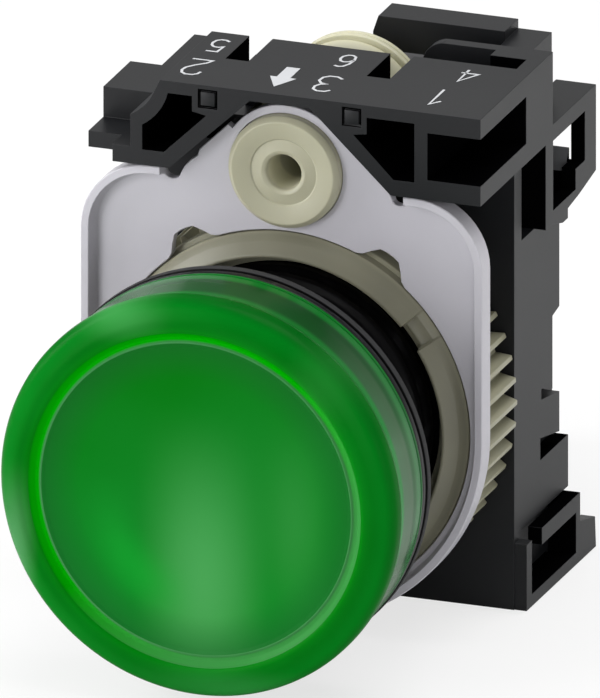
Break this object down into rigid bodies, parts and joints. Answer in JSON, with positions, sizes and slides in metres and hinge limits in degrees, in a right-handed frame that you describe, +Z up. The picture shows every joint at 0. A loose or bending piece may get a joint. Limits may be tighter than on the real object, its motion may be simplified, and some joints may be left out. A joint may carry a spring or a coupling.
{
  "type": "panel pilot light",
  "caption": "Round green indicator light for a 22.3 mm panel hole, with a sliding holder, a pressure plate and a toothed clamping ring driven by a pinion.",
  "frame": {"origin": "on the light's axis in the plane of the panel's front face, the rear face of the seal", "axes": "+Y into the panel, +Z up, +X to the right as seen from the front"},
  "size_m": [0.03, 0.0575, 0.04],
  "materials": {
    "black_plastic": "fine matt moulding",
    "block_plastic": "matt moulding",
    "seal_rubber": "matt",
    "white_plastic": "satin white",
    "green_lens": "clear tinted, polished",
    "frosted": "frosted",
    "grey_plate": "smooth satin coating",
    "beige_plastic": "satin natural nylon",
    "plated_sheet": "nickel plated",
    "clear_glass": "clear",
    "wire": "drawn",
    "base_glass": "dark glass",
    "solder": "dull tin",
    "brass": "pressed sheet",
    "zinc": "zinc plated"
  },
  "bodies": {
    "head": {"bezel": "black_plastic", "panel_seal": "seal_rubber", "lens_seal": "seal_rubber", "reflector": "white_plastic"},
    "lens_cap": {"lens": "green_lens", "diffuser_disc": "frosted"},
    "holder_unit": {"holder": "black_plastic", "pressure_plate": "grey_plate", "block_body": "block_plastic", "block_cover": "block_plastic", "socket_shell": "plated_sheet", "lamp_glass": "clear_glass", "lamp_filament": "wire", "lamp_cap": "plated_sheet", "lamp_insulator": "base_glass", "lamp_contact": "solder", "contact_leaf": "brass", "terminal_strip_top": "brass", "terminal_strip_bottom": "brass", "clamp_washer_top": "zinc", "clamp_washer_bottom": "zinc", "terminal_screw_top": "zinc", "terminal_screw_bottom": "zinc"},
    "ring": {"clamp_ring": "beige_plastic"},
    "drive": {"pinion": "beige_plastic"}
  },
  "joints": [
    {"name": "lens_turn", "type": "hinge", "parent": "head", "child": "lens_cap", "pos_m": [0, -0.005, 0], "axis": [0, -1, 0], "range_deg": [0, 30]},
    {"name": "holder_slide", "type": "slide", "parent": "head", "child": "holder_unit", "axis": [0, -1, 0], "range_m": [0, 0.008]},
    {"name": "ring_turn", "type": "hinge", "parent": "holder_unit", "child": "ring", "pos_m": [0, 0.015, 0], "axis": [0, 1, 0], "range_deg": [0, 720]},
    {"name": "pinion_turn", "type": "hinge", "parent": "holder_unit", "child": "drive", "pos_m": [0, 0.015, 0.01828], "axis": [0, 1, 0], "range_deg": [-2288, 0]}
  ],
  "couplings": [
    {"joint": "holder_slide", "follows": "ring_turn", "m_per_rad": 0.00063662},
    {"joint": "pinion_turn", "follows": "ring_turn", "ratio": -3.1765}
  ]
}
